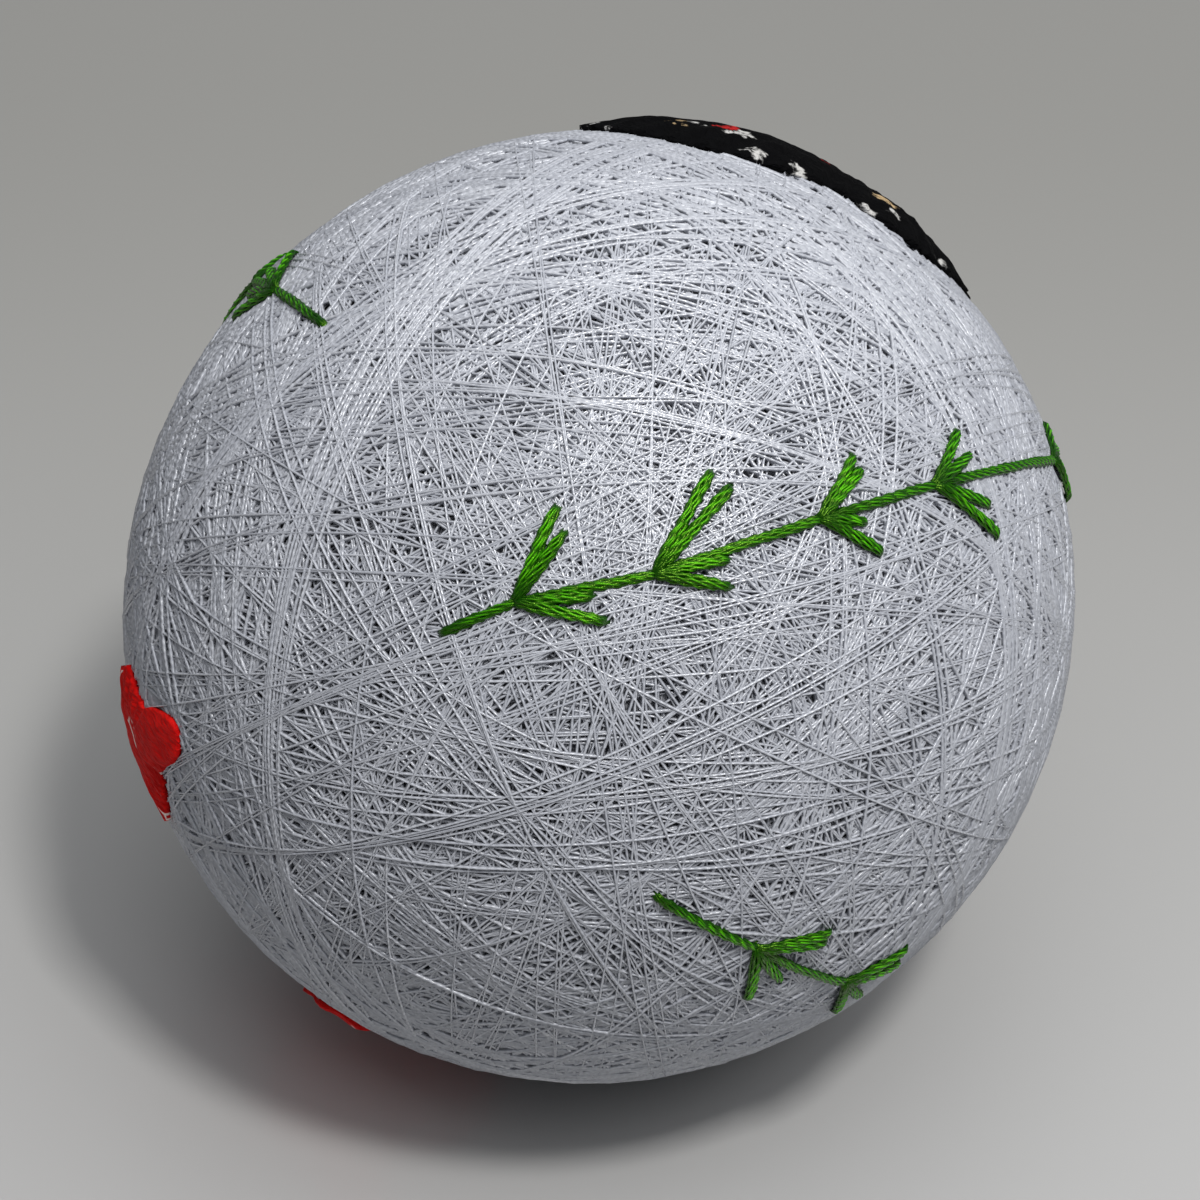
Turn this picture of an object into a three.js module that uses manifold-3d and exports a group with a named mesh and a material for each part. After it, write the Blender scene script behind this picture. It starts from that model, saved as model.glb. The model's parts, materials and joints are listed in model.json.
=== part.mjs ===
// A temari ball: a ball wound from sewing thread, with three sprigs stitched in floss and
// three padded crepe patches sewn on. Millimetres, +Z up. The origin is the middle of the
// flat spot that it rests on, and its front faces -Y.

import * as THREE from 'three';
import { mergeVertices } from 'three/addons/utils/BufferGeometryUtils.js';
import Module from 'manifold-3d';

const wasm = await Module();
wasm.setup();

// Driving dimensions. Places on the ball are degrees: az runs from the front towards +X,
// el from the middle up. Headings run clockwise from straight up, seen from outside.
const BALL_RADIUS = 37.5;
const OVAL = 0.9;                        // longest radius less the shortest
const LONG_AXIS = { az: 124, el: 36 };   // where the longest radius points
const REST_SPOT_RADIUS = 6;
const RIDGE_HEIGHT = 0.6;                // from the hollows of the winding to its ridges
const SEAT_GAP = 0.3;                    // clearance under what is sewn on
const BALL_DETAIL = 17;                  // cuts along each edge of the icosahedron

// Main lays of thread: each is a belt round the ball, square to its pole.
const MAIN_LAYS = [
  { az: -149, el: 45, width: 5.0, weight: 1.4 },
  { az: -150, el: 36, width: 4.0, weight: 1.0 },
  { az: -145, el: 38, width: 4.0, weight: 0.8 },
  { az: -176, el: 38, width: 4.0, weight: 0.8 },
  { az: 51, el: 9, width: 7.0, weight: 1.4 },
  { az: 22, el: 2, width: 5.0, weight: 1.0 },
  { az: -162, el: 4, width: 4.5, weight: 1.0 },
  { az: -37, el: 19, width: 7.0, weight: 1.2 },
  { az: -130, el: 62, width: 6.0, weight: 1.2 },
  { az: -157, el: 53, width: 4.0, weight: 0.8 },
];

// The rest of the winding: evenly spread belts that fill in between the main lays.
const FILL_LAYS = { count: 22, width: 5.5, weight: 0.6 };

// A floss stitch: a low rounded bar that narrows where it goes into the ball.
const STITCH = { width: 1.1, height: 0.65, taper: 0.9, step: 3.5, tip_width: 0.5, tip_height: 0.4 };
const STITCH_LIFT = 0.07;                // how much higher each stitch lies than the one before it

// Half section of a stitch as shares of its width and height, from one foot to the other.
const STITCH_ARCH = [[-0.5, 0], [-0.4, 0.65], [0, 1], [0.4, 0.65], [0.5, 0]];

// Sprigs: stem stitches run from the start, joint to joint. At each joint a fan of leaf
// stitches points onward. stem is the length up to the joint, bend the turn beyond it, and
// each leaf is [turn from the incoming stem, length].
const SPRIGS = {
  sprig_centre: {
    start: { az: -20.3, el: 34 },
    heading: 55,
    joints: [
      { stem: 5.7, bend: 12, leaves: [[-45, 7.2], [-33, 6.1], [21, 6.5], [33, 6.7]] },
      { stem: 10.1, bend: -9, leaves: [[-50, 8.5], [-38, 8.5], [-5, 6.0], [13, 5.6]] },
      { stem: 13.6, bend: 1, leaves: [[-38, 6.0], [-28, 5.9], [18, 4.3], [41, 6.0]] },
      { stem: 10.9, bend: 1, leaves: [[-36, 6.4], [-16, 5.9], [24, 6.6], [40, 8.0]] },
      { stem: 22.0, bend: 0, leaves: [[-36, 6.0], [-14, 6.0], [14, 5.5], [36, 5.5]] },
    ],
  },
  sprig_lower: {
    start: { az: 6.3, el: 5.1 },
    heading: 131,
    joints: [
      { stem: 10.7, bend: 6, leaves: [[-34, 6.7], [-25, 6.6], [23, 5.7], [51, 6.5]] },
      { stem: 12.5, bend: 0, leaves: [[-40, 7.0], [-20, 7.5], [15, 6.5], [36, 6.5]] },
    ],
  },
  sprig_upper: {
    start: { az: -73.6, el: 56.6 },
    heading: -106,
    joints: [
      { stem: 10.9, bend: 0, leaves: [[-37, 6.5], [-14, 6.5], [12, 6.5], [37, 6.0]] },
      { stem: 11.5, bend: -3, leaves: [[-42, 7.0], [-20, 6.5], [16, 6.0], [38, 6.5]] },
      { stem: 12.0, bend: 0, leaves: [[-44, 6.5], [-16, 6.0], [16, 6.0], [44, 6.5]] },
    ],
  },
};

// Patches: lobed pads. crown and rim are the thickness at the middle and at the sewn edge,
// waist the reach of the outline between lobes, and crease the share of the thickness taken
// by the troughs there. Each lobe has its heading, its reach and its half width in degrees.
const PATCHES = {
  black_patch: {
    place: { az: 152, el: 33 }, crown: 3.9, rim: 0.7, waist: 13.3, crease: 0.35,
    lobes: [
      { heading: 30, reach: 21.0, spread: 45 },
      { heading: 115, reach: 17.5, spread: 45 },
      { heading: 200, reach: 17.5, spread: 45 },
      { heading: 285, reach: 21.0, spread: 45 },
    ],
  },
  red_patch_left: {
    place: { az: -69.5, el: -4.5 }, crown: 1.3, rim: 0.6, waist: 5.6, crease: 0.25,
    lobes: [
      { heading: 45, reach: 13.2, spread: 46 },
      { heading: 152, reach: 7.6, spread: 50 },
      { heading: 262, reach: 10.0, spread: 56 },
    ],
  },
  red_patch_under: {
    place: { az: -58.8, el: -51.4 }, crown: 1.3, rim: 0.6, waist: 5.6, crease: 0.25,
    lobes: [
      { heading: 44, reach: 11.5, spread: 46 },
      { heading: 154, reach: 10.0, spread: 52 },
      { heading: 284, reach: 10.5, spread: 52 },
    ],
  },
};
const PATCH_RINGS = [0.3, 0.55, 0.75, 0.9, 1];   // shares of the way from middle to edge
const PATCH_SECTORS = 48;

// Materials
function cloth(color, roughness) {
  return new THREE.MeshStandardMaterial({ color, roughness, metalness: 0 });
}
const THREAD_GREY = cloth('#b4b8c2', 0.7);
const FLOSS_GREEN = cloth('#1f8a10', 0.55);
const CREPE_BLACK = cloth('#0b0b0f', 0.75);
const CREPE_RED = cloth('#a30d0f', 0.6);

// Places and directions on the ball, as unit vectors from its centre
function direction({ az, el }) {
  const a = THREE.MathUtils.degToRad(az);
  const e = THREE.MathUtils.degToRad(el);
  return new THREE.Vector3(Math.sin(a) * Math.cos(e), -Math.cos(a) * Math.cos(e), Math.sin(e));
}

function tangentAt(place, heading) {
  const up = new THREE.Vector3(0, 0, 1);
  const north = up.addScaledVector(place, -place.z).normalize();
  return turned(place, north, heading);
}

function turned(place, tangent, degrees) {
  return tangent.clone().applyAxisAngle(place, -THREE.MathUtils.degToRad(degrees));
}

// Walk a length along the ball: the place reached, and the way then faced.
function walk(place, tangent, length) {
  const angle = length / BALL_RADIUS;
  const reached = place.clone().multiplyScalar(Math.cos(angle)).addScaledVector(tangent, Math.sin(angle));
  const facing = tangent.clone().multiplyScalar(Math.cos(angle)).addScaledVector(place, -Math.sin(angle));
  return { place: reached, tangent: facing };
}

// The wound surface
const CENTRE = new THREE.Vector3(0, 0, Math.sqrt(BALL_RADIUS ** 2 - REST_SPOT_RADIUS ** 2));
const LONGEST = direction(LONG_AXIS);
const LAYS = [...MAIN_LAYS.map(layFromRow), ...fillLays()];

function layFromRow({ az, el, width, weight }) {
  return { pole: direction({ az, el }), width, weight };
}

function fillLays() {
  const goldenAngle = 180 * (3 - Math.sqrt(5));
  return Array.from({ length: FILL_LAYS.count }, (_, i) => {
    const el = THREE.MathUtils.radToDeg(Math.asin((i + 0.5) / FILL_LAYS.count));
    return layFromRow({ az: i * goldenAngle, el, width: FILL_LAYS.width, weight: FILL_LAYS.weight });
  });
}

function ovalRadius(place) {
  return BALL_RADIUS + OVAL * (place.dot(LONGEST) ** 2 - 1 / 3);
}

// Ridges build up where lays cross, and level off at the full ridge height.
function woundRadius(place) {
  let heap = 0;
  for (const { pole, width, weight } of LAYS) {
    const offset = BALL_RADIUS * Math.abs(Math.asin(place.dot(pole)));
    if (offset < width / 2) {
      heap += weight * Math.cos(Math.PI * offset / width) ** 2;
    }
  }
  return ovalRadius(place) + RIDGE_HEIGHT * (0.5 - Math.exp(-heap));
}

// What is sewn on lies just clear of the highest ridges.
function seatRadius(place) {
  return ovalRadius(place) + RIDGE_HEIGHT / 2 + SEAT_GAP;
}

function onBall(place, radius) {
  return CENTRE.clone().addScaledVector(place, radius);
}

// Solids
function toManifold(geometry) {
  const bare = geometry.clone();
  bare.deleteAttribute('normal');
  bare.deleteAttribute('uv');
  const merged = mergeVertices(bare);
  return new wasm.Manifold(new wasm.Mesh({
    numProp: 3,
    vertProperties: Float32Array.from(merged.attributes.position.array),
    triVerts: Uint32Array.from(merged.index.array),
  }));
}

function toGeometry(manifold) {
  const { vertProperties, triVerts } = manifold.getMesh();
  return indexedGeometry(Array.from(vertProperties), Array.from(triVerts));
}

function indexedGeometry(positions, indices) {
  const geometry = new THREE.BufferGeometry();
  geometry.setAttribute('position', new THREE.Float32BufferAttribute(positions, 3));
  geometry.setIndex(indices);
  geometry.computeVertexNormals();
  return geometry;
}

function piece(name, geometry, material) {
  const mesh = new THREE.Mesh(geometry, material);
  mesh.name = name;
  return mesh;
}

// The wound ball, cut flat where it rests
function ballGeometry() {
  const geometry = new THREE.IcosahedronGeometry(1, BALL_DETAIL);
  const points = geometry.attributes.position;
  for (let i = 0; i < points.count; i += 1) {
    const place = new THREE.Vector3().fromBufferAttribute(points, i).normalize();
    points.setXYZ(i, ...onBall(place, woundRadius(place)));
  }
  const side = 2 * BALL_RADIUS;
  const below = new THREE.BoxGeometry(side, side, side).translate(0, 0, -side / 2);
  return toGeometry(toManifold(geometry).subtract(toManifold(below)));
}

// Distances along a stitch at which it has a section: tapered ends and even steps between
function stitchStations(length) {
  const middle = length - 2 * STITCH.taper;
  const steps = Math.ceil(middle / STITCH.step);
  const between = Array.from({ length: steps + 1 }, (_, i) => STITCH.taper + middle * i / steps);
  return [0, ...between, length];
}

function stitchGeometry(place, tangent, length, lift) {
  const stations = stitchStations(length);
  const positions = [];
  stations.forEach((distance, i) => {
    const here = walk(place, tangent, distance);
    const side = here.place.clone().cross(here.tangent);
    const atTip = i === 0 || i === stations.length - 1;
    const width = STITCH.width * (atTip ? STITCH.tip_width : 1);
    const height = STITCH.height * (atTip ? STITCH.tip_height : 1);
    for (const [across, rise] of STITCH_ARCH) {
      const foot = onBall(here.place, seatRadius(here.place) + lift + height * rise);
      positions.push(...foot.addScaledVector(side, width * across));
    }
  });
  return indexedGeometry(positions, tubeFaces(stations.length, STITCH_ARCH.length));
}

// Faces of a closed bar of like sections, ends included
function tubeFaces(sections, sides) {
  const indices = [];
  for (let i = 0; i + 1 < sections; i += 1) {
    for (let j = 0; j < sides; j += 1) {
      const a = i * sides + j;
      const b = i * sides + (j + 1) % sides;
      indices.push(a, b + sides, b, a, a + sides, b + sides);
    }
  }
  const last = (sections - 1) * sides;
  for (let j = 1; j + 1 < sides; j += 1) {
    indices.push(0, j, j + 1, last, last + j + 1, last + j);
  }
  return indices;
}

// A sprig: its stem and leaf stitches joined into one solid
function sprigGeometry({ start, heading, joints }) {
  let place = direction(start);
  let tangent = tangentAt(place, heading);
  const stitches = [];
  joints.forEach(({ stem, bend, leaves }, j) => {
    const stemLift = STITCH_LIFT * (j % 2);
    stitches.push(stitchGeometry(place, tangent, stem + STITCH.taper, stemLift));
    const joint = walk(place, tangent, stem);
    leaves.forEach(([turn, length], k) => {
      const leafTangent = turned(joint.place, joint.tangent, turn);
      stitches.push(stitchGeometry(joint.place, leafTangent, length, STITCH_LIFT * (k + 2)));
    });
    place = joint.place;
    tangent = turned(place, joint.tangent, bend);
  });
  return toGeometry(stitches.map(toManifold).reduce((whole, next) => whole.add(next)));
}

// A padded patch: rings of points from its middle to its edge, above and below
function patchGeometry(patch) {
  const middle = direction(patch.place);
  const top = [...onBall(middle, seatRadius(middle) + patch.crown)];
  const under = [...onBall(middle, seatRadius(middle))];
  for (const share of PATCH_RINGS) {
    for (let j = 0; j < PATCH_SECTORS; j += 1) {
      const heading = 360 * j / PATCH_SECTORS;
      const reach = patchReach(patch, heading);
      const { place } = walk(middle, tangentAt(middle, heading), reach * share);
      top.push(...onBall(place, seatRadius(place) + patchThickness(patch, reach, share)));
      under.push(...onBall(place, seatRadius(place)));
    }
  }
  return indexedGeometry([...top, ...under], patchFaces(PATCH_SECTORS, PATCH_RINGS.length));
}

function patchReach({ waist, lobes }, heading) {
  const bulges = lobes.map((lobe) => {
    const off = Math.abs(THREE.MathUtils.euclideanModulo(heading - lobe.heading + 180, 360) - 180);
    return off < lobe.spread ? (lobe.reach - waist) * Math.cos(Math.PI * off / lobe.spread / 2) ** 2 : 0;
  });
  return waist + Math.max(...bulges);
}

// A full dome, with a trough from each notch that fades out towards the middle
function patchThickness({ crown, rim, waist, crease, lobes }, reach, share) {
  const longest = Math.max(...lobes.map((lobe) => lobe.reach));
  const notch = 1 - (reach - waist) / (longest - waist);
  const dome = Math.sqrt(1 - share ** 3);
  return rim + (crown - rim) * dome * (1 - crease * share * notch ** 3);
}

// Faces of the two sides of a patch, which meet in a narrow wall round its edge
function patchFaces(sectors, rings) {
  const indices = [];
  const layer = 1 + sectors * rings;
  const at = (ring, j) => 1 + ring * sectors + j % sectors;
  const addBothSides = (a, b, c) => indices.push(a, b, c, layer + a, layer + c, layer + b);
  for (let j = 0; j < sectors; j += 1) {
    addBothSides(0, at(0, j + 1), at(0, j));
    for (let ring = 0; ring + 1 < rings; ring += 1) {
      addBothSides(at(ring, j), at(ring, j + 1), at(ring + 1, j + 1));
      addBothSides(at(ring, j), at(ring + 1, j + 1), at(ring + 1, j));
    }
    const near = at(rings - 1, j);
    const next = at(rings - 1, j + 1);
    indices.push(near, next, layer + next, near, layer + next, layer + near);
  }
  return indices;
}

const temariBall = new THREE.Group();
temariBall.add(piece('thread_ball', ballGeometry(), THREAD_GREY));
for (const [name, sprig] of Object.entries(SPRIGS)) {
  temariBall.add(piece(name, sprigGeometry(sprig), FLOSS_GREEN));
}
for (const [name, patch] of Object.entries(PATCHES)) {
  temariBall.add(piece(name, patchGeometry(patch), name.startsWith('red') ? CREPE_RED : CREPE_BLACK));
}

export default temariBall;
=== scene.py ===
# Looks of a temari ball: wound sewing thread, three sprigs in stranded floss and three padded
# crepe patches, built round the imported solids. Sizes on the ball are millimetres, and points
# become metres when a mesh is made.

import json
import math

import bpy
import numpy as np
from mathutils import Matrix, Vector


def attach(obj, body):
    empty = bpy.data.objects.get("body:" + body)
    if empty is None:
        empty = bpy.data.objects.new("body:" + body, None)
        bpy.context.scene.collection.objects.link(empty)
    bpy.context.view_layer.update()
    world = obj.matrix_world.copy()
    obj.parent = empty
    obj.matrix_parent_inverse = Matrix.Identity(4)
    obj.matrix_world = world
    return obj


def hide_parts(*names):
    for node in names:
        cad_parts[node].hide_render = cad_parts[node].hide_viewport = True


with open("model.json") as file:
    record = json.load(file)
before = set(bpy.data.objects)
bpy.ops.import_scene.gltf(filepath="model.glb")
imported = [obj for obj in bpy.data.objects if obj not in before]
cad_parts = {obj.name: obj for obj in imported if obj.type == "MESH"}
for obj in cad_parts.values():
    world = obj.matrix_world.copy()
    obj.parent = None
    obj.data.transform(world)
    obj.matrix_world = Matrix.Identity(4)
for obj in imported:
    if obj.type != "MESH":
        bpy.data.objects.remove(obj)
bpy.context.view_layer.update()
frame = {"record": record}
SLOTS = {part["node"]: part["material_slot"] for part in frame["record"]["subparts"]}

MM = 0.001
RANDOM = np.random.default_rng(11)

# The ball, with the same sizes as its solid. Places on it are degrees: azimuth from the front
# towards +X, elevation from the middle up. Headings run clockwise from straight up, seen from
# outside.
BALL_RADIUS = 37.5
OVAL = 0.9  # longest radius less the shortest
LONG_AXIS = (124, 36)  # where the longest radius points
REST_SPOT_RADIUS = 6
CENTRE_HEIGHT = math.sqrt(BALL_RADIUS**2 - REST_SPOT_RADIUS**2)
PRESS_HEIGHT = 0.6  # threads lower than this are pressed flat

# Thread and winding
THREAD_WIDTH = 0.25
THREAD_RINGS = 64  # sections round a turn
THREAD_SECTION = np.array([[0.5, -0.4], [0.0, 0.6], [-0.5, -0.4]]) * THREAD_WIDTH
THREAD_TWIST = 0.6  # length of one twist
TWISTS_IN_A_TURN = round(math.tau * BALL_RADIUS / THREAD_TWIST)
STRIP_MARGIN = 0.04  # left free on both sides of a turn's strip in the map
CORE_DEPTH = 0.7  # how far the core lies under the mean surface
CORE_RINGS = 60
CORE_SECTORS = 120
WINDINGS = {  # turns, and the height of the first and the last above the mean surface
    "winding_inner": (400, -0.55, -0.3),
    "winding_middle": (400, -0.3, -0.1),
    "winding_outer": (400, -0.1, 0.06),
    "winding_top": (330, 0.06, 0.22),
}
LONGEST_RUN = 3  # near-parallel turns before the winding changes direction
RUN_GAP = (0.3, 1.6)  # between turns of a run
RUN_STRAY = 0.35  # how far a turn strays from its even place in a run
LEAN = 0.012  # how far a turn strays from a great circle, in radians
UNDULATION = 0.05  # rise and fall as a turn crosses others

# Lays that stand out on top: azimuth and elevation of the pole, turns, and the gap between them
TOP_LAYS = [
    (-149, 45, 6, 0.45),
    (-150, 36, 4, 0.5),
    (-145, 38, 3, 0.4),
    (-176, 38, 3, 0.5),
    (51, 9, 8, 0.55),
    (22, 2, 4, 0.5),
    (-162, 4, 4, 0.6),
    (-37, 19, 7, 0.6),
    (-130, 62, 6, 0.6),
    (-157, 53, 3, 0.4),
]

# Floss: a stitch is a flattened bundle of strands, each of two plies twisted together
STRANDS = [  # offset across the stitch and above its foot
    (-0.34, 0.10),
    (-0.11, 0.12),
    (0.12, 0.12),
    (0.34, 0.10),
    (-0.20, 0.31),
    (0.03, 0.36),
    (0.23, 0.30),
]
STRAND_SIDES = 6
PLY_REACH = 0.19  # half the long way across a strand's two plies
PLY_WAIST = 0.125  # half the short way
PLY_PITCH = (1.9, 2.5)  # length of one full twist, from strand to strand
STITCH_STEP = 0.17
STITCH_FOOT = 0.22  # the foot's height above the mean surface
STITCH_DIVE = 0.75  # how far a stitch's ends go in
STITCH_TAPER = 0.8  # length over which they do so
TIP_TAPER = 1.8  # length over which a stitch widens from its ends
TIP_WIDTH = 0.45  # share of its width that a stitch has at its ends
LIT_ROOT = 3.2  # painted shade: length over which the colour brightens from a stitch's start, where it goes into the ball
LIT_TIP = 1.4  # and from its tip, likewise painted shade
LEAF_WIDTH = 0.9  # share of the strands' full offsets
STEM_WIDTH = 0.72
STEM_LIT = 0.75  # painted shade: a stem's brightness as a share of a leaf's
END_LIT = 0.12  # painted shade: brightness at a stitch's ends, where they go into the ball
GROOVE_LIT = 0.25  # painted shade: brightness between the plies
LOW_LIT = 0.35  # painted shade: brightness at a stitch's foot, under its upper strands
STRAND_LIT = (0.75, 1.1)  # brightness from strand to strand
STRAND_SWAY = 0.05
STRAND_ROLL = 0.04  # rise and fall of the strands as the bundle turns
ROOT_OVERLAP = 0.5  # how far behind its joint a leaf starts
STITCH_LIFT = 0.05  # how much higher each stitch of a fan lies than the one before it
BUNDLE_TWIST = 0.05  # turns of the whole bundle for each mm

# Sprigs: start (azimuth, elevation), heading, then for each joint the stem up to it, the bend
# beyond it and its leaves as (turn from the incoming stem, length)
SPRIGS = {
    "sprig_centre": (
        (-21.7, 32.7),
        55,
        [
            (6.4, 10.5, [(-45, 7.9), (-33, 6.6), (17, 6.0), (34, 6.9)]),
            (10.0, -7.5, [(-49, 9.1), (-37, 9.0), (-1, 6.0), (20, 6.0)]),
            (13.1, 1, [(-38, 6.4), (-28, 5.9), (18, 4.3), (41, 6.0)]),
            (10.9, 1, [(-36, 6.4), (-16, 5.9), (24, 6.6), (40, 8.0)]),
            (22.0, 0, [(-36, 6.0), (-14, 6.0), (14, 5.5), (36, 5.5)]),
        ],
    ),
    "sprig_lower": (
        (5.7, 4.4),
        131,
        [
            (10.7, 6, [(-34, 6.7), (-25, 6.6), (23, 5.7), (51, 6.5)]),
            (12.5, 0, [(-40, 7.0), (-20, 7.5), (15, 6.5), (36, 6.5)]),
        ],
    ),
    "sprig_upper": (
        (-73.0, 55.9),
        -106,
        [
            (10.9, 0, [(-37, 6.5), (-14, 6.5), (12, 6.5), (37, 6.0)]),
            (11.5, -3, [(-42, 7.0), (-20, 6.5), (16, 6.0), (38, 6.5)]),
            (12.0, 0, [(-44, 6.5), (-16, 6.0), (16, 6.0), (44, 6.5)]),
        ],
    ),
}

# Patches: middle (azimuth, elevation), thickness at crown and rim, reach of the outline between
# lobes, share of the thickness taken by the troughs there, and lobes as (heading, reach, half
# width in degrees)
PATCHES = {
    "black_patch": (
        (145, 32), 1.95, 0.4, 15.4, 0.45,
        [(20, 24.8, 68), (105, 16.7, 45), (196, 16.7, 42), (309, 19.2, 41)],
    ),
    "red_patch_left": (
        (-69.5, -4.5), 0.9, 0.4, 5.2, 0.25,
        [(50, 11.0, 31), (150, 6.3, 50), (262, 9.0, 50), (332, 6.0, 26)],
    ),
    "red_patch_under": (
        (-58.8, -51.4), 0.95, 0.4, 6.5, 0.25,
        [(46, 13.5, 38), (135, 12.5, 52), (296, 12.5, 56)],
    ),
}
PATCH_FOOT = 0.2  # the underside's height above the mean surface
PATCH_GRAIN = 0.45  # spacing of a patch's mesh
PATCH_THINNEST = 0.25
UNDER_SHARES = np.array([1, 0.7, 0.35])  # rings of the underside, from the edge inward
PUCKER_LENGTH = 2.2  # between the gathers round a patch's edge
EDGE_SCALLOP = 0.2  # how far the edge bows out between gathers
PUCKER_HEIGHT = 0.16
WRINKLE_HEIGHT = 0.2
WRINKLE_LENGTH = 2.2
WRINKLE_WAVES = 7  # crossed waves that make up the wrinkles

# Camera, from the photograph: distance and elevation, lens on a 36 mm wide sensor, and how far
# the ball's centre is from the aim
CAMERA_DISTANCE = 300
CAMERA_ELEVATION = 38
CAMERA_LENS = 112.0
AIM_RIGHT = 0.08
AIM_UP = 0.48

# Studio, in metres and watts: lamps as azimuth, elevation, distance, size, power and colour
LAMPS = {
    "key": (64, 75, 0.8, 1.1, 6.2, (0.97, 0.985, 1.0)),
    "glint": (30, 62, 0.8, 0.1, 3.9, (1.0, 0.99, 0.97)),
}
SKY_COLOUR = (0.92, 0.95, 1.0, 1)
SKY_STRENGTH = 0.2
FLOOR_SIZE = 3.0


# Places and directions on the ball
def unit(vectors):
    return vectors / np.linalg.norm(vectors, axis=-1, keepdims=True)


def direction(azimuth, elevation):
    a, e = np.radians(azimuth), np.radians(elevation)
    return np.array([np.sin(a) * np.cos(e), -np.cos(a) * np.cos(e), np.sin(e)])


def turned(place, tangent, degrees):
    """The tangent turned clockwise about the place, seen from outside."""
    angle = np.radians(degrees)
    return tangent * np.cos(angle) - np.cross(place, tangent) * np.sin(angle)


def tangent_at(place, heading):
    north = unit(np.array([0, 0, 1]) - place * place[2])
    return turned(place, north, heading)


def walk(place, tangent, length):
    """The places reached and the ways then faced, after each length along the ball."""
    angle = np.asarray(length, float)[..., None] / BALL_RADIUS
    reached = place * np.cos(angle) + tangent * np.sin(angle)
    facing = tangent * np.cos(angle) - place * np.sin(angle)
    return reached, facing


def oval_radius(places):
    return BALL_RADIUS + OVAL * ((places @ direction(*LONG_AXIS)) ** 2 - 1 / 3)


def on_ball(places, heights):
    """Points at heights above the mean surface, about the ball's centre."""
    return places * (oval_radius(places) + heights)[..., None]


def settled(points):
    """Points about the ball's centre moved to the row frame, and pressed flat at the floor."""
    moved = points + np.array([0, 0, CENTRE_HEIGHT])
    low = np.minimum(moved[..., 2], PRESS_HEIGHT)
    pressed = PRESS_HEIGHT * np.exp((low - PRESS_HEIGHT) / PRESS_HEIGHT)
    moved[..., 2] = np.where(moved[..., 2] < PRESS_HEIGHT, pressed, moved[..., 2])
    return moved


# Meshes
def make_piece(name, points, faces, material, node, uv=None, painted_shading=None):
    """One smooth mesh from arrays: faces is a list of index arrays, one for each corner count."""
    corners = np.concatenate([f.ravel() for f in faces])
    counts = np.concatenate([np.full(len(f), f.shape[1]) for f in faces])
    mesh = bpy.data.meshes.new(name)
    mesh.vertices.add(len(points))
    mesh.vertices.foreach_set("co", (points * MM).astype(np.float32).ravel())
    mesh.loops.add(len(corners))
    mesh.loops.foreach_set("vertex_index", corners.astype(np.int32))
    mesh.polygons.add(len(counts))
    mesh.polygons.foreach_set("loop_start", (np.cumsum(counts) - counts).astype(np.int32))
    mesh.update(calc_edges=True)
    mesh.shade_smooth()
    if uv is not None:
        mesh.uv_layers.new(name="OFBake").data.foreach_set("uv", uv.astype(np.float32).ravel())
    # the floss's painted shade, kept as a point attribute
    if painted_shading is not None:
        mesh.attributes.new("painted_shading", "FLOAT", "POINT").data.foreach_set("value", painted_shading.astype(np.float32))
    mesh.materials.append(material)
    piece = bpy.data.objects.new(name, mesh)
    bpy.context.collection.objects.link(piece)
    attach(piece, "root")
    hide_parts(node)
    return piece


def tube_faces(tubes, rings, sides, closed):
    """Quads of like tubes whose points run ring by ring, and the caps of open ones."""
    first = np.arange(tubes)[:, None, None] * rings * sides
    ring = np.arange(rings if closed else rings - 1)[None, :, None]
    side = np.arange(sides)[None, None, :]
    next_ring, next_side = (ring + 1) % rings, (side + 1) % sides
    quads = np.stack(
        [
            first + ring * sides + side,
            first + ring * sides + next_side,
            first + next_ring * sides + next_side,
            first + next_ring * sides + side,
        ],
        -1,
    ).reshape(-1, 4)
    if closed:
        return [quads]
    starts = first[:, 0] + np.arange(sides)[::-1]
    ends = first[:, 0] + (rings - 1) * sides + np.arange(sides)
    return [quads, np.concatenate([starts, ends])]


def shell_faces(layers, sectors):
    """Faces of a closed shell whose points run layer by layer, then its first and last pole."""
    layer = np.arange(layers - 1)[:, None] * sectors
    sector = np.arange(sectors)[None]
    beside = (sector + 1) % sectors
    quads = np.stack(
        [layer + sector, layer + beside, layer + sectors + beside, layer + sectors + sector], -1
    )
    first_pole = np.full(sectors, layers * sectors)
    last_pole = first_pole + 1
    fan = np.arange(sectors)
    next_fan = np.roll(fan, -1)
    last_layer = (layers - 1) * sectors
    first_cap = np.stack([first_pole, next_fan, fan], -1)
    last_cap = np.stack([last_pole, last_layer + fan, last_layer + next_fan], -1)
    return [quads.reshape(-1, 4), np.concatenate([first_cap, last_cap])]


def tube_points(path, side, out, section):
    """Points of tubes: a section of (across, out) offsets at each point of each path."""
    across, rise = section[..., 0, None], section[..., 1, None]
    return path[..., None, :] + side[..., None, :] * across + out[..., None, :] * rise


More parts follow.
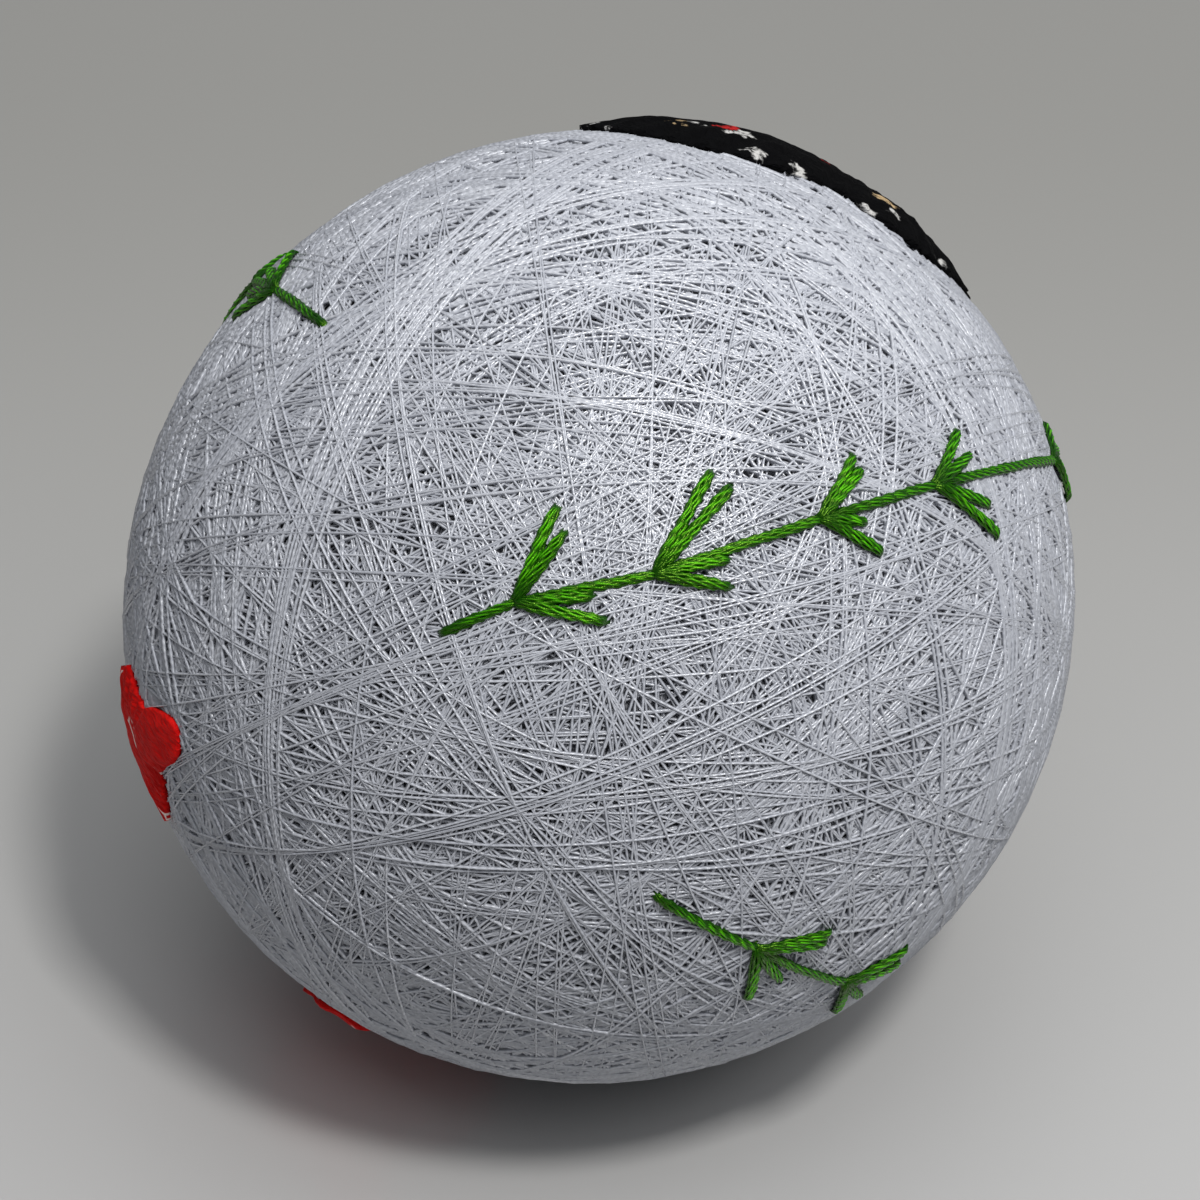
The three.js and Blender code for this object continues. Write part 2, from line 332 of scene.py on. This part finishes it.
# Materials
class Nodes:
    """Adds nodes to one new material. Inputs take plain values or other nodes' outputs."""

    def __init__(self, name):
        self.material = bpy.data.materials.new(name)
        self.material.use_nodes = True
        self.tree = self.material.node_tree
        self.shader = self.tree.nodes["Principled BSDF"]

    def feed(self, socket, value):
        if isinstance(value, bpy.types.NodeSocket):
            self.tree.links.new(value, socket)
        else:
            socket.default_value = value

    def add(self, kind, inputs=(), **settings):
        made = self.tree.nodes.new("ShaderNode" + kind)
        for name, value in settings.items():
            setattr(made, name, value)
        for socket, value in dict(inputs).items():
            self.feed(made.inputs[socket], value)
        return made

    def math(self, operation, *values):
        return self.add("Math", dict(enumerate(values)), operation=operation).outputs[0]

    def between(self, value, low, high):
        """0 at or below low, 1 at or above high, smooth in between."""
        inputs = {"Value": value, "From Min": low, "From Max": high}
        return self.add("MapRange", inputs, interpolation_type="SMOOTHSTEP").outputs["Result"]

    def mix(self, share, low, high):
        made = self.add("Mix", data_type="RGBA")
        self.feed(made.inputs["Factor"], share)
        self.feed(made.inputs[6], low)
        self.feed(made.inputs[7], high)
        return made.outputs[2]

    def places(self):
        """Coordinates on the object in millimetres."""
        spots = self.add("TexCoord").outputs["Object"]
        return self.add("VectorMath", {0: spots, 1: (1 / MM,) * 3}, operation="MULTIPLY").outputs[0]

    def noise(self, places, length, detail=2.0):
        inputs = {"Vector": places, "Scale": 1 / length, "Detail": detail}
        return self.add("TexNoise", inputs).outputs["Fac"]

    def bump(self, height, depth):
        """Raises the surface by the height's share of the depth, in millimetres."""
        inputs = {"Height": height, "Distance": depth * MM, "Strength": 1.0}
        self.tree.links.new(self.add("Bump", inputs).outputs[0], self.shader.inputs["Normal"])

    def finish(self, colour, **constants):
        self.feed(self.shader.inputs["Base Color"], colour)
        for name, value in constants.items():
            self.shader.inputs[name.replace("_", " ")].default_value = value
        return self.material


def thread_material(turns):
    """Light grey thread: its twist runs along each turn, and turns differ a little in tone."""
    nodes = Nodes("thread_grey")
    spot = nodes.add("SeparateXYZ", {0: nodes.add("UVMap", uv_map="OFBake").outputs[0]}).outputs
    row = nodes.math("MULTIPLY", spot[1], turns)
    across = nodes.math("FRACT", row)
    along = nodes.math("MULTIPLY", spot[0], TWISTS_IN_A_TURN)
    twist = nodes.math("SINE", nodes.math("MULTIPLY", nodes.math("ADD", along, across), math.tau))
    ply = nodes.math("MULTIPLY_ADD", twist, 0.5, 0.5)
    turn = nodes.math("FLOOR", row)
    tone = nodes.add("TexWhiteNoise", {"W": turn}, noise_dimensions="1D").outputs["Value"]
    pale = nodes.mix(tone, (0.42, 0.435, 0.48, 1), (0.54, 0.555, 0.60, 1))
    colour = nodes.mix(nodes.math("MULTIPLY", ply, 0.22), pale, (0.24, 0.25, 0.29, 1))
    nodes.bump(ply, 0.025)
    return nodes.finish(colour, Roughness=0.25, Specular_IOR_Level=1.0)


def core_material():
    """What shows between the innermost turns: thread coloured darker as painted shade, streaked and
    uneven.
    """
    nodes = Nodes("thread_core")
    places = nodes.places()
    streaks = nodes.add("TexWave", {"Vector": places, "Scale": 1.1, "Distortion": 6.0}).outputs[1]
    # painted shade: darker than the turns' own grey, for the depth between them
    colour = nodes.mix(streaks, (0.26, 0.27, 0.30, 1), (0.42, 0.43, 0.47, 1))
    nodes.bump(streaks, 0.15)
    return nodes.finish(colour, Roughness=0.8)


def floss_material():
    """Green floss with a silky shine, with painted shade between its plies, on its lower strands and
    stems, and where it goes into the ball.
    """
    nodes = Nodes("floss_green")
    places = nodes.places()
    # painted shade: this attribute darkens the floss between plies, on lower strands and stems, and at
    # stitch ends
    painted_shading = nodes.add("Attribute", attribute_name="painted_shading").outputs["Fac"]
    dyed = nodes.mix(nodes.noise(places, 1.3), (0.015, 0.27, 0.003, 1), (0.16, 0.66, 0.008, 1))
    # painted shade: the colour goes to near-black green where the attribute is low
    colour = nodes.mix(nodes.between(painted_shading, 0.15, 0.95), (0.003, 0.04, 0.001, 1), dyed)
    fibres = nodes.noise(places, 0.12, 1.0)
    nodes.bump(fibres, 0.03)
    shine = (0.5, 1.0, 0.1, 1)
    return nodes.finish(colour, Roughness=0.27, Specular_IOR_Level=0.7, Specular_Tint=shine)


def crepe_bump(nodes, places, depth):
    """The crinkled grain of crepe."""
    along = nodes.add("VectorMath", {0: places, 1: (1.0, 0.5, 2.2)}, operation="MULTIPLY").outputs[0]
    grain = nodes.noise(along, 0.75, 2.0)
    nodes.bump(nodes.between(grain, 0.3, 0.7), depth)
    return grain


def black_crepe_material():
    """Black crepe with small scattered flecks in white, red and tan."""
    nodes = Nodes("crepe_black")
    places = nodes.places()
    grain = crepe_bump(nodes, places, 0.2)
    ground = nodes.mix(grain, (0.0008, 0.0008, 0.001, 1), (0.0035, 0.0035, 0.004, 1))
    uneven = nodes.add("TexNoise", {"Vector": places, "Scale": 0.9, "Detail": 4.0}).outputs["Color"]
    swing = nodes.add("VectorMath", {0: uneven, 1: (2.6,) * 3}, operation="MULTIPLY").outputs[0]
    shifted = nodes.add("VectorMath", {0: places, 1: swing}, operation="ADD").outputs[0]
    cells = nodes.add("TexVoronoi", {"Vector": shifted, "Scale": 1 / 4}).outputs
    worn = nodes.between(nodes.noise(places, 0.5, 3.0), 0.3, 0.55)
    fleck = nodes.math("MULTIPLY", nodes.between(cells["Distance"], 0.28, 0.2), worn)
    kind = nodes.add("SeparateColor", {0: cells["Color"]}).outputs[0]
    tan = nodes.between(kind, 0.84, 0.86)
    red_or_tan = nodes.mix(tan, (0.45, 0.02, 0.02, 1), (0.5, 0.36, 0.2, 1))
    coloured = nodes.between(kind, 0.58, 0.6)
    dye = nodes.mix(coloured, (0.55, 0.54, 0.52, 1), red_or_tan)
    colour = nodes.mix(fleck, ground, dye)
    return nodes.finish(colour, Roughness=0.8, Specular_IOR_Level=0.04)


def red_crepe_material():
    """Red crepe with a few thin pale strokes."""
    nodes = Nodes("crepe_red")
    places = nodes.places()
    grain = crepe_bump(nodes, places, 0.1)
    crests = nodes.between(grain, 0.3, 0.7)
    ground = nodes.mix(crests, (0.44, 0.002, 0.002, 1), (0.62, 0.008, 0.006, 1))
    cells = nodes.add("TexVoronoi", {"Vector": places, "Scale": 1 / 5}, feature="DISTANCE_TO_EDGE")
    line = nodes.between(cells.outputs["Distance"], 0.028, 0.012)
    here = nodes.between(nodes.noise(places, 4.0, 0.0), 0.55, 0.6)
    stroke = nodes.math("MULTIPLY", line, here)
    colour = nodes.mix(stroke, ground, (0.8, 0.66, 0.62, 1))
    return nodes.finish(colour, Roughness=0.7, Specular_IOR_Level=0.06)


def floor_material():
    """A pale table with a soft shine, and painted shade that makes it a little darker and warmer
    towards the back.
    """
    nodes = Nodes("table_pale")
    spots = nodes.add("TexCoord").outputs["Object"]
    depth = nodes.add("SeparateXYZ", {0: spots}).outputs[1]
    # painted shade: the table's colour darkens towards the back, in place of the lamps' falloff
    back_painted_shade = nodes.between(depth, -0.06, 0.15)
    colour = nodes.mix(back_painted_shade, (0.44, 0.435, 0.43, 1), (0.30, 0.295, 0.278, 1))
    return nodes.finish(colour, Roughness=0.25, Specular_IOR_Level=0.8)


# The wound ball
def random_poles(turns):
    """Poles of great circles in runs of near-parallel turns, each run in a new direction."""
    poles = []
    while len(poles) < turns:
        pole = unit(RANDOM.normal(size=3))
        sway = unit(np.cross(pole, RANDOM.normal(size=3)))
        gap = RANDOM.uniform(*RUN_GAP)
        for k in range(RANDOM.integers(1, LONGEST_RUN + 1)):
            stray = RANDOM.normal(0, RUN_STRAY, 3)
            poles.append(pole + (sway * gap * k + stray) / BALL_RADIUS)
    return unit(np.array(poles[:turns]))


def top_poles():
    """Poles of the lays that stand out, each a band of turns side by side."""
    poles = []
    for azimuth, elevation, turns, gap in TOP_LAYS:
        pole = direction(azimuth, elevation)
        sway = unit(np.cross(pole, RANDOM.normal(size=3)))
        for k in range(turns):
            stray = RANDOM.normal(0, RUN_STRAY, 3)
            poles.append(pole + (sway * gap * (k - turns / 2) + stray) / BALL_RADIUS)
    return unit(np.array(poles))


def turn_paths(poles, heights):
    """Points of one closed turn for each pole, with the directions out of the ball there."""
    angle = np.linspace(0, math.tau, THREAD_RINGS, endpoint=False)[:, None]
    first = unit(np.cross(poles, RANDOM.normal(size=poles.shape)))[:, None]
    second = np.cross(poles[:, None], first)
    lean = RANDOM.normal(0, LEAN, (len(poles), 1, 1))
    places = unit(first * np.cos(angle) + second * np.sin(angle) + poles[:, None] * lean)
    waves = RANDOM.integers(2, 6, (len(poles), 1))
    phase = RANDOM.uniform(0, math.tau, (len(poles), 1))
    rise = UNDULATION * np.sin(waves * angle[:, 0] + phase)
    return on_ball(places, heights[:, None] + rise), places


def strip_map(turns, sides):
    """A map with one strip for each turn: along it from 0 to 1, and round the thread across it."""
    turn, ring, side = np.meshgrid(
        np.arange(turns), np.arange(THREAD_RINGS), np.arange(sides), indexing="ij"
    )
    along = np.stack([ring, ring, ring + 1, ring + 1], -1) / THREAD_RINGS
    across = np.stack([side, side + 1, side + 1, side], -1) / sides
    strip = (turn[..., None] + STRIP_MARGIN + (1 - 2 * STRIP_MARGIN) * across) / turns
    return np.stack([along, strip], -1)


def make_winding(name, poles, heights):
    path, out = turn_paths(poles, heights)
    tangent = unit(np.roll(path, -1, axis=1) - np.roll(path, 1, axis=1))
    side = np.cross(out, tangent)
    points = settled(tube_points(path, side, out, THREAD_SECTION)).reshape(-1, 3)
    sides = len(THREAD_SECTION)
    turns = len(poles)
    faces = tube_faces(turns, THREAD_RINGS, sides, closed=True)
    make_piece(name, points, faces, thread_material(turns), "thread_ball", strip_map(turns, sides))


def make_core():
    """A plain ball under the turns."""
    elevation, azimuth = np.meshgrid(
        np.linspace(-90, 90, CORE_RINGS + 1)[1:-1],
        np.arange(CORE_SECTORS) * 360 / CORE_SECTORS,
        indexing="ij",
    )
    grid = direction(azimuth.ravel(), elevation.ravel()).T
    places = np.concatenate([grid, [[0, 0, -1], [0, 0, 1]]])
    points = settled(on_ball(places, np.full(len(places), -CORE_DEPTH)))
    faces = shell_faces(CORE_RINGS - 1, CORE_SECTORS)
    make_piece("thread_core", points, faces, core_material(), "thread_ball")


def make_ball():
    make_core()
    for name, (turns, lowest, highest) in WINDINGS.items():
        poles = random_poles(turns)
        heights = np.linspace(lowest, highest, turns)
        if name == "winding_top":
            lays = top_poles()
            poles = np.concatenate([poles, lays])
            heights = np.concatenate([heights, np.full(len(lays), highest)])
        make_winding(name, poles, heights)


# The sprigs
def strand_sections(distance, pitch, phase):
    """Two-lobed sections that turn with the ply, at each distance along a strand."""
    corner = np.arange(STRAND_SIDES)
    round_way = corner / STRAND_SIDES * math.tau
    reach = np.where(corner % 3 == 0, PLY_REACH, PLY_WAIST)
    twist = distance[:, None] / pitch * math.tau + phase
    return np.stack([reach * np.cos(round_way + twist), reach * np.sin(round_way + twist)], -1)


def stitch_strands(place, tangent, length, lift, width, brightness):
    """Points, painted shade and faces of one stitch's strands."""
    rings = int(length / STITCH_STEP) + 2
    distance = np.linspace(0, length, rings)
    out, facing = walk(place, tangent, distance)
    side = np.cross(out, facing)
    from_end = np.minimum(distance, length - distance)
    fullness = 1 - np.exp(-3 * (from_end / STITCH_TAPER) ** 2)
    # painted shade: the colour darkens towards a stitch's ends, where it goes into the ball
    rooted = np.clip(distance / LIT_ROOT, 0, 1)
    tipped = np.clip((length - distance) / LIT_TIP, 0, 1)
    lit = brightness * (END_LIT + (1 - END_LIT) * rooted**1.4 * tipped)
    height = STITCH_FOOT + lift - STITCH_DIVE * (1 - fullness)
    spread = width * (TIP_WIDTH + (1 - TIP_WIDTH) * np.clip(from_end / TIP_TAPER, 0, 1) ** 0.7)
    roll = distance * BUNDLE_TWIST * math.tau + RANDOM.uniform(0, math.tau)
    # painted shade: darker colour in the grooves between plies
    crests = np.where(np.arange(STRAND_SIDES) % 3 == 0, 1.0, GROOVE_LIT)
    highest = max(rise for _, rise in STRANDS)
    points, painted_shading = [], []
    for across, rise in STRANDS:
        sway = STRAND_SWAY * np.sin(distance * RANDOM.uniform(0.6, 1.4) + RANDOM.uniform(0, math.tau))
        over = STRAND_ROLL * np.sin(roll + across * 6)
        path = on_ball(out, height + (rise + over) * spread)
        path = path + side * ((across + sway) * spread)[:, None]
        section = strand_sections(distance, RANDOM.uniform(*PLY_PITCH), RANDOM.uniform(0, math.tau))
        points.append(tube_points(path, side, out, section))
        # painted shade: lower strands coloured darker than upper ones
        upper = LOW_LIT + (1 - LOW_LIT) * rise / highest
        painted_shading.append(lit[:, None] * crests * upper * RANDOM.uniform(*STRAND_LIT))
    faces = tube_faces(len(STRANDS), rings, STRAND_SIDES, closed=False)
    return np.stack(points), np.stack(painted_shading), faces


def sprig_stitches(start, heading, joints):
    """The strands of each stitch, stem by stem with the leaves at its joint."""
    place = direction(*start)
    tangent = tangent_at(place, heading)
    stitches = []
    for number, (stem, bend, leaves) in enumerate(joints):
        lift = STITCH_LIFT * (number % 2)
        reach = stem + STITCH_TAPER
        # painted shade: stems are coloured darker than leaves
        stitches.append(stitch_strands(place, tangent, reach, lift, STEM_WIDTH, STEM_LIT))
        joint, facing = walk(place, tangent, stem)
        for k, (turn, length) in enumerate(leaves):
            root, onward = walk(joint, turned(joint, facing, turn), -ROOT_OVERLAP)
            reach = length + ROOT_OVERLAP
            lift = STITCH_LIFT * (k + 2)
            stitches.append(stitch_strands(root, onward, reach, lift, LEAF_WIDTH, 1.0))
        place, tangent = joint, turned(joint, facing, bend)
    return stitches


def make_sprig(name, start, heading, joints, material):
    points, painted_shading, faces, count = [], [], [], 0
    for strand_points, strand_painted_shading, strand_faces in sprig_stitches(start, heading, joints):
        faces.append([f + count for f in strand_faces])
        points.append(strand_points.reshape(-1, 3))
        painted_shading.append(strand_painted_shading.ravel())
        count += len(points[-1])
    joined = [np.concatenate(kind) for kind in zip(*faces)]
    settled_points = settled(np.concatenate(points))
    make_piece(name, settled_points, joined, material, name, painted_shading=np.concatenate(painted_shading))


# The patches
def patch_reach(heading, waist, lobes):
    bulge = np.zeros_like(heading)
    for middle, reach, spread in lobes:
        off = np.abs((heading - middle + 180) % 360 - 180)
        rise = (reach - waist) * np.cos(np.pi * np.minimum(off / spread, 1) / 2) ** 2
        bulge = np.maximum(bulge, rise)
    return waist + bulge


def smooth_noise(places, length):
    """A few crossed waves with wandering phases, for folds that don't repeat."""
    total = np.zeros(places.shape[:-1])
    for _ in range(WRINKLE_WAVES):
        way = unit(RANDOM.normal(size=3)) * math.tau / (length * RANDOM.uniform(0.7, 1.4))
        total += np.sin(places @ way * BALL_RADIUS + RANDOM.uniform(0, math.tau))
    return total / WRINKLE_WAVES


def make_patch(name, middle, crown, rim, waist, crease, lobes, material):
    """A domed pad with gathers round its sewn edge and wrinkles over its top."""
    longest = max(reach for _, reach, _ in lobes)
    sectors = int(math.tau * longest * 0.7 / PATCH_GRAIN)
    rings = int(longest / PATCH_GRAIN)
    heading = np.arange(sectors) * 360 / sectors
    reach = patch_reach(heading, waist, lobes)
    steps = np.cumsum(RANDOM.uniform(0.5, 1.5, sectors)) * PATCH_GRAIN
    gathers = np.sin(math.tau * steps / PUCKER_LENGTH)
    edge = reach + EDGE_SCALLOP * gathers
    place = direction(*middle)
    tangents = np.stack([tangent_at(place, h) for h in heading])

    share = (np.arange(rings) + 1)[:, None] / rings
    out, _ = walk(place, tangents, share * edge)
    notch = 1 - (reach - waist) / (longest - waist)
    dome = (1 - share**3) * (1 - crease * share * notch**3)
    pucker = PUCKER_HEIGHT * share**3 * gathers
    calm_edge = np.minimum(1, 4 * (1 - share) + 0.2)
    wrinkle = WRINKLE_HEIGHT * smooth_noise(out, WRINKLE_LENGTH) * calm_edge
    thickness = rim + (crown - rim) * dome + pucker + wrinkle
    top = on_ball(out, PATCH_FOOT + np.maximum(thickness, PATCH_THINNEST))

    under_out, _ = walk(place, tangents, UNDER_SHARES[:, None] * edge)
    under = on_ball(under_out, np.full(under_out.shape[:2], PATCH_FOOT))
    poles = on_ball(np.array([place, place]), np.array([PATCH_FOOT + crown, PATCH_FOOT]))
    layers = np.concatenate([top, under])
    points = settled(np.concatenate([layers.reshape(-1, 3), poles]))
    piece = make_piece(name, points, shell_faces(len(layers), sectors), material, name)


# Floor, light and camera
def make_floor():
    corners = np.array([[-1, -1, 0], [1, -1, 0], [1, 1, 0], [-1, 1, 0]]) * FLOOR_SIZE / 2
    mesh = bpy.data.meshes.new("table")
    mesh.from_pydata(corners.tolist(), [], [(0, 1, 2, 3)])
    mesh.materials.append(floor_material())
    floor = bpy.data.objects.new("table", mesh)
    bpy.context.collection.objects.link(floor)


def make_light(name, azimuth, elevation, distance, size, power, colour):
    light = bpy.data.lights.new(name, "AREA")
    light.size = size
    light.energy = power
    light.color = colour
    lamp = bpy.data.objects.new(name, light)
    bpy.context.collection.objects.link(lamp)
    place_facing(lamp, direction(azimuth, elevation) * distance)


def place_facing(thing, offset):
    """Puts a lamp or camera at an offset in metres from the ball's centre, facing the centre."""
    centre = np.array([0, 0, CENTRE_HEIGHT * MM])
    thing.location = centre + offset
    thing.rotation_mode = "QUATERNION"
    thing.rotation_quaternion = Vector(-offset).to_track_quat("-Z", "Y")


def make_lights():
    for name, settings in LAMPS.items():
        make_light(name, *settings)
    world = bpy.data.worlds.new("studio")
    bpy.context.scene.world = world
    world.use_nodes = True
    backdrop = world.node_tree.nodes["Background"].inputs
    backdrop["Color"].default_value = SKY_COLOUR
    backdrop["Strength"].default_value = SKY_STRENGTH


def make_camera():
    camera = bpy.data.cameras.new("camera")
    camera.lens = CAMERA_LENS
    camera.sensor_width = 36
    camera.clip_start = 0.01
    eye = bpy.data.objects.new("camera", camera)
    bpy.context.collection.objects.link(eye)
    back = direction(0, CAMERA_ELEVATION)
    place_facing(eye, back * CAMERA_DISTANCE * MM)
    right, up = np.array([1, 0, 0]), np.cross(back, np.array([1, 0, 0]))
    eye.location = np.array(eye.location) + (right * AIM_RIGHT + up * AIM_UP) * MM
    bpy.context.scene.camera = eye


make_ball()
floss = floss_material()
for sprig_name, (start, heading, joints) in SPRIGS.items():
    make_sprig(sprig_name, start, heading, joints, floss)
crepes = {"crepe_black": black_crepe_material(), "crepe_red": red_crepe_material()}
for patch_name, sizes in PATCHES.items():
    make_patch(patch_name, *sizes, crepes[SLOTS[patch_name]])
make_floor()
make_lights()
make_camera()
bpy.context.scene.view_settings.view_transform = "Standard"
